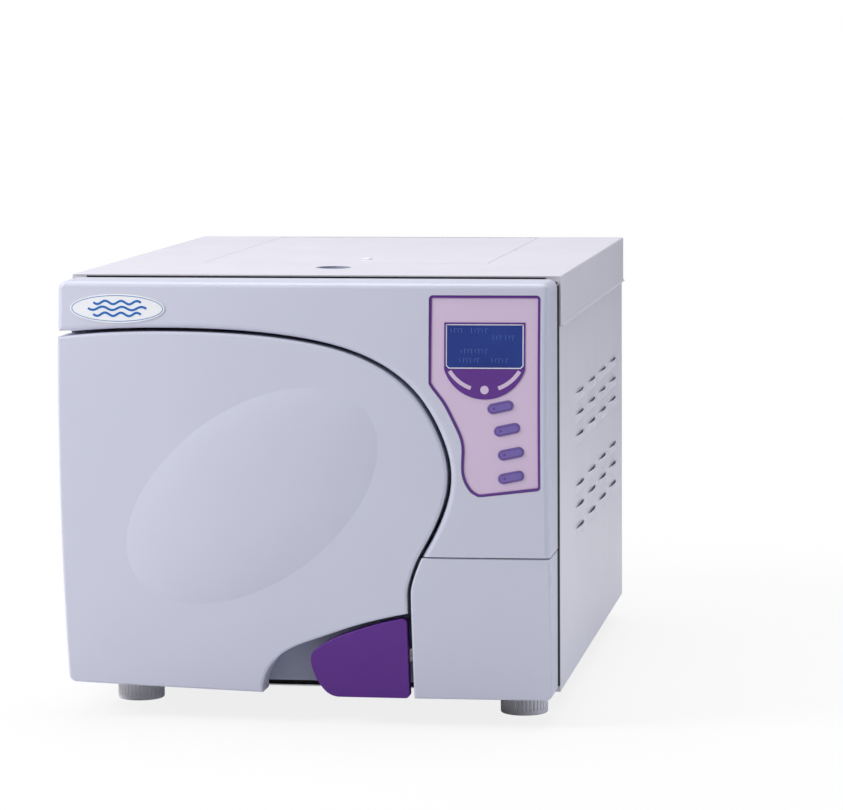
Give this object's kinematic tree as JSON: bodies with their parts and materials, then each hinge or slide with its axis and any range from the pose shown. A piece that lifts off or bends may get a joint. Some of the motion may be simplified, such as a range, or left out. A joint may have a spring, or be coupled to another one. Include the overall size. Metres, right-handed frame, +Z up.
{
  "type": "benchtop autoclave",
  "caption": "Benchtop steam steriliser: bowed plastic front, side-hinged round pressure door with violet pull handle, keypad with display, louvred steel casing on round feet.",
  "frame": {"origin": "bench level under the middle of the overall bounding box", "axes": "+Z up, -Y towards the door at the front, +X to the right as seen from the front"},
  "size_m": [0.4496, 0.6604, 0.3994],
  "materials": {
    "bezel_plastic": "satin moulded plastic, pale blue-grey",
    "inner_plastic": "matt moulded plastic",
    "violet_plastic": "satin deep violet",
    "panel_lilac": "matt lilac membrane",
    "panel_violet": "satin dark violet",
    "key_violet": "satin violet blue",
    "lcd_blue": "blue display",
    "badge_white": "gloss white",
    "casing_paint": "powder coat, off-white",
    "black_paint": "matt black",
    "zinc_steel": "zinc plated",
    "pin_steel": "ground steel",
    "stainless": "polished stainless",
    "tray_aluminium": "anodised",
    "gasket_silicone": "translucent silicone",
    "foot_plastic": "matt off-white",
    "black_rubber": "matt black",
    "heater_silicone": "red silicone mat",
    "felt": "glass fibre felt",
    "tank_plastic": "translucent white",
    "black_plastic": "matt black",
    "pump_paint": "dark grey enamel",
    "brass_fittings": "turned brass",
    "copper_pipe": "copper",
    "board_green": "solder mask",
    "filter_white": "moulded white"
  },
  "bodies": {
    "cabinet": {"front_bezel": "bezel_plastic", "service_panel": "inner_plastic", "finger_cup": "inner_plastic", "control_panel": "panel_lilac", "display_surround": "panel_violet", "panel_trim": "panel_violet", "lcd_module": "lcd_blue", "badge": "badge_white", "side_panel_left": "casing_paint", "side_panel_right": "casing_paint", "top_cover": "casing_paint", "rear_panel": "casing_paint", "front_frame": "black_paint", "condenser": "black_paint", "base_pan": "zinc_steel", "hinge_brackets": "zinc_steel", "latch_keeper": "zinc_steel", "hinge_pins": "pin_steel", "casing_screws": "pin_steel", "chamber": "stainless", "tray_rack": "stainless", "steam_generator": "stainless", "trays": "tray_aluminium", "levelling_foot_left": "foot_plastic", "levelling_foot_right": "foot_plastic", "rear_feet": "black_rubber", "band_heater": "heater_silicone", "insulation_jacket": "felt", "fresh_water_tank": "tank_plastic", "used_water_tank": "tank_plastic", "fan_housing": "black_plastic", "printer": "black_plastic", "power_inlet": "black_plastic", "fuse_holders": "black_plastic", "vacuum_pump": "pump_paint", "lock_solenoid": "pump_paint", "safety_valve": "brass_fittings", "drain_fitting": "brass_fittings", "drain_ports": "brass_fittings", "pipes": "copper_pipe", "control_board": "board_green", "bacteria_filter": "filter_white"},
    "door": {"door_cover": "bezel_plastic", "door_liner": "inner_plastic", "door_beam": "zinc_steel", "pressure_lid": "stainless", "door_gasket": "gasket_silicone", "lid_adjuster": "stainless", "handle_pin": "pin_steel"},
    "handle": {"handle": "violet_plastic", "latch_hook": "pin_steel"},
    "service_flap": {"service_flap": "bezel_plastic"},
    "tank_hatch": {"tank_hatch": "casing_paint"},
    "start_key": {"start_key": "key_violet"},
    "up_key": {"up_key": "key_violet"},
    "down_key": {"down_key": "key_violet"},
    "stop_key": {"stop_key": "key_violet"},
    "lock_pin": {"lock_pin": "pin_steel"},
    "power_rocker": {"power_rocker": "black_plastic"},
    "fan_rotor": {"fan_rotor": "black_plastic"}
  },
  "joints": [
    {"name": "door_hinge", "type": "hinge", "parent": "cabinet", "child": "door", "pos_m": [-0.196, -0.28578, 0.205], "axis": [0, 0, -1], "range_deg": [0, 100]},
    {"name": "handle_pivot", "type": "hinge", "parent": "door", "child": "handle", "pos_m": [0.087, -0.29371, 0.033], "axis": [0, -0.1798, 0.9837], "range_deg": [0, 70]},
    {"name": "flap_hinge", "type": "hinge", "parent": "cabinet", "child": "service_flap", "pos_m": [0.107, -0.29491, 0.035], "axis": [0, 0.1571, -0.9876], "range_deg": [0, 42]},
    {"name": "hatch_hinge", "type": "hinge", "parent": "cabinet", "child": "tank_hatch", "pos_m": [0, 0.30073, 0.3954], "axis": [-1, 0, 0], "range_deg": [0, 62]},
    {"name": "lock_pin_slide", "type": "slide", "parent": "cabinet", "child": "lock_pin", "axis": [-1, 0, 0], "range_m": [0, 0.0075]},
    {"name": "power_rocker_tilt", "type": "hinge", "parent": "cabinet", "child": "power_rocker", "pos_m": [0.198, -0.26777, 0.109], "axis": [1, 0, 0], "range_deg": [-9, 9]},
    {"name": "fan_spin", "type": "hinge", "parent": "cabinet", "child": "fan_rotor", "pos_m": [0.165, 0.29623, 0.275], "axis": [0, 1, 0], "continuous": true},
    {"name": "start_key_press", "type": "slide", "parent": "cabinet", "child": "start_key", "axis": [0, 1, 0], "range_m": [0, 0.001], "stiffness_N_per_m": 400},
    {"name": "up_key_press", "type": "slide", "parent": "cabinet", "child": "up_key", "axis": [0, 1, 0], "range_m": [0, 0.001], "stiffness_N_per_m": 400},
    {"name": "down_key_press", "type": "slide", "parent": "cabinet", "child": "down_key", "axis": [0, 1, 0], "range_m": [0, 0.001], "stiffness_N_per_m": 400},
    {"name": "stop_key_press", "type": "slide", "parent": "cabinet", "child": "stop_key", "axis": [0, 1, 0], "range_m": [0, 0.001], "stiffness_N_per_m": 400}
  ]
}
